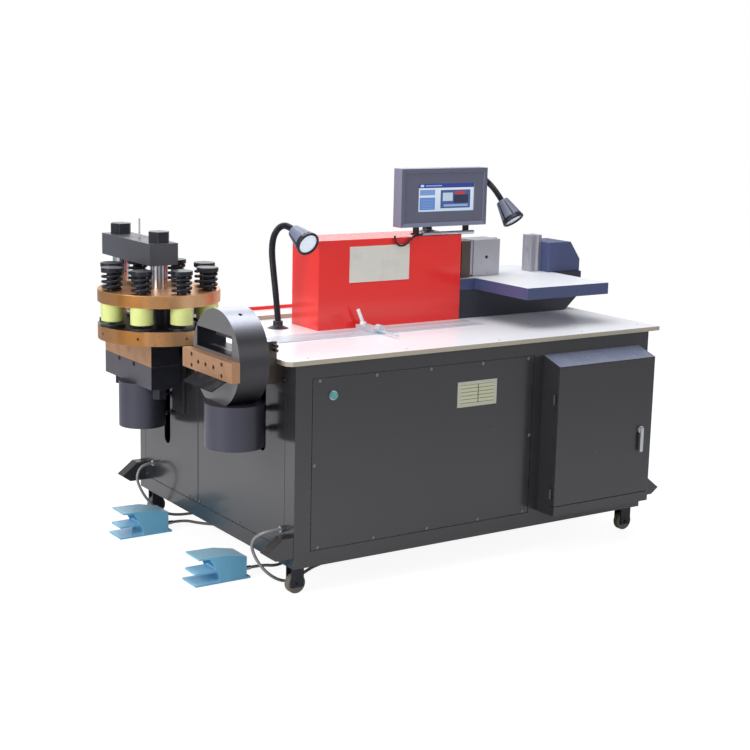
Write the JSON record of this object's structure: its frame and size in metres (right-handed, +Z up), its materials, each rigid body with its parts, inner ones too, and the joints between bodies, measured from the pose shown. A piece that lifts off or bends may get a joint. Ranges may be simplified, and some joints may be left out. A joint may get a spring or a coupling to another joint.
{
  "type": "manual busbar bender",
  "caption": "Wheeled busbar workshop machine: turret punch, shear and horizontal bending press on a steel cabinet with a work table.",
  "frame": {"origin": "bottom centre of the machine's bounding box, on the floor, cables left out", "axes": "+X to the right along the cabinet's front, +Y to the back, +Z up"},
  "size_m": [1.8469, 1.2123, 1.282],
  "materials": {
    "charcoal_paint": "gloss",
    "black_paint": "satin",
    "grey_paint": "satin",
    "red_paint": "gloss",
    "blue_paint": "satin",
    "table_coat": "satin",
    "bronze": "satin",
    "tool_bronze": "satin",
    "chrome_steel": "polished",
    "tool_steel": "brushed",
    "black_steel": "satin",
    "urethane": "satin",
    "scale_steel": "brushed",
    "plate_alu": "satin",
    "button_green": "gloss",
    "case_plastic": "matte",
    "screen_glass": "gloss",
    "neck_paint": "satin",
    "lamp_paint": "satin",
    "pedal_blue": "satin",
    "caster_black": "matte",
    "cable_grey": "matte",
    "gear_grey": "matte"
  },
  "bodies": {
    "cabinet": {"cabinet_frame": "charcoal_paint", "front_panel": "charcoal_paint", "side_panels": "charcoal_paint", "panel_screws": "black_steel", "table_top": "table_coat", "rear_deck": "table_coat", "scale_strip": "scale_steel", "button_bezel": "chrome_steel", "name_plates": "plate_alu", "electrical_box": "charcoal_paint", "control_gear": "gear_grey", "ram_housing": "red_paint", "bending_cylinder": "black_paint", "bending_frame": "blue_paint", "bending_table": "blue_paint", "bending_die": "tool_steel", "die_backstop": "blue_paint", "screen_bracket": "chrome_steel", "lamp_stands": "neck_paint", "lamp_heads": "lamp_paint", "punch_anvil": "tool_bronze", "punch_bracket": "black_paint", "shear_housing": "grey_paint", "shear_tool_block": "tool_bronze", "shear_cylinder": "black_paint", "offcut_tray": "blue_paint", "power_pack": "black_paint", "caster_brackets": "black_steel", "pedal_guards": "pedal_blue", "cable_glands": "black_steel", "front_cable": "cable_grey", "rear_cable": "cable_grey"},
    "press": {"press_beam": "grey_paint", "tie_columns": "chrome_steel", "punch_bolster": "grey_paint", "punch_cylinder": "black_paint"},
    "turret": {"lower_turret": "bronze", "upper_turret": "bronze", "turret_punches": "black_steel", "punch_springs": "black_steel", "struck_spring": "black_steel", "stripper_rings": "urethane", "die_inserts": "black_steel"},
    "struck": {"struck_punch": "black_steel"},
    "ram": {"bending_ram": "tool_steel", "bending_punch": "tool_steel"},
    "blade": {"shear_blade": "tool_steel"},
    "door": {"electrical_door": "charcoal_paint"},
    "latch": {"door_latch": "chrome_steel"},
    "button": {"start_button": "button_green"},
    "stop": {"stop_slide": "tool_steel"},
    "stop_clamp": {"stop_lever": "chrome_steel"},
    "screen": {"screen_case": "case_plastic", "screen_glass": "screen_glass"},
    "treadle_front": {"front_treadle": "pedal_blue"},
    "treadle_rear": {"rear_treadle": "pedal_blue"},
    "wheel_fl": {"wheel_front_left": "caster_black"},
    "wheel_fr": {"wheel_front_right": "caster_black"},
    "wheel_rl": {"wheel_rear_left": "caster_black"},
    "wheel_rr": {"wheel_rear_right": "caster_black"}
  },
  "joints": [
    {"name": "press_stroke", "type": "slide", "parent": "cabinet", "child": "press", "axis": [0, 0, -1], "range_m": [0, 0.025]},
    {"name": "turret_turn", "type": "hinge", "parent": "cabinet", "child": "turret", "pos_m": [-0.717, 0.215, 0.8], "axis": [0, 0, 1], "range_deg": [-360, 360]},
    {"name": "punch_stroke", "type": "slide", "parent": "turret", "child": "struck", "axis": [0, 0, -1], "range_m": [0, 0.025], "deforming": ["struck_spring"]},
    {"name": "ram_stroke", "type": "slide", "parent": "cabinet", "child": "ram", "axis": [1, 0, 0], "range_m": [0, 0.143]},
    {"name": "blade_stroke", "type": "slide", "parent": "cabinet", "child": "blade", "axis": [0, 0, 1], "range_m": [0, 0.06]},
    {"name": "door_hinge", "type": "hinge", "parent": "cabinet", "child": "door", "pos_m": [0.3477, -0.575, 0.4], "axis": [0, 0, -1], "range_deg": [0, 110]},
    {"name": "latch_turn", "type": "hinge", "parent": "door", "child": "latch", "pos_m": [0.728, -0.5993, 0.406], "axis": [0, 1, 0], "range_deg": [0, 90]},
    {"name": "button_press", "type": "slide", "parent": "cabinet", "child": "button", "axis": [0, 1, 0], "range_m": [0, 0.004], "stiffness_N_per_m": 900, "springref_m": -0.001},
    {"name": "stop_travel", "type": "slide", "parent": "cabinet", "child": "stop", "axis": [1, 0, 0], "range_m": [-0.3, 0.3]},
    {"name": "stop_lock", "type": "hinge", "parent": "stop", "child": "stop_clamp", "pos_m": [-0.112, -0.1043, 0.77], "axis": [0, 0, 1], "range_deg": [-90, 60]},
    {"name": "screen_tilt", "type": "hinge", "parent": "cabinet", "child": "screen", "pos_m": [0.038, -0.032, 1.142], "axis": [1, 0, 0], "range_deg": [-12, 2]},
    {"name": "front_treadle_hinge", "type": "hinge", "parent": "cabinet", "child": "treadle_front", "pos_m": [-0.743, -0.2215, 0.0385], "axis": [0, -1, 0], "range_deg": [0, 10], "stiffness_Nm_per_rad": 1.2, "springref_deg": -20.05},
    {"name": "rear_treadle_hinge", "type": "hinge", "parent": "cabinet", "child": "treadle_rear", "pos_m": [-0.743, 0.3485, 0.0385], "axis": [0, -1, 0], "range_deg": [0, 10], "stiffness_Nm_per_rad": 1.2, "springref_deg": -20.05},
    {"name": "wheel_front_left_spin", "type": "hinge", "parent": "cabinet", "child": "wheel_fl", "pos_m": [-0.579, -0.459, 0.032], "axis": [0, 1, 0], "continuous": true},
    {"name": "wheel_front_right_spin", "type": "hinge", "parent": "cabinet", "child": "wheel_fr", "pos_m": [0.795, -0.459, 0.032], "axis": [0, 1, 0], "continuous": true},
    {"name": "wheel_rear_left_spin", "type": "hinge", "parent": "cabinet", "child": "wheel_rl", "pos_m": [-0.579, 0.54, 0.032], "axis": [0, 1, 0], "continuous": true},
    {"name": "wheel_rear_right_spin", "type": "hinge", "parent": "cabinet", "child": "wheel_rr", "pos_m": [0.795, 0.54, 0.032], "axis": [0, 1, 0], "continuous": true}
  ],
  "couplings": [
    {"joint": "punch_stroke", "follows": "press_stroke", "ratio": 1}
  ]
}
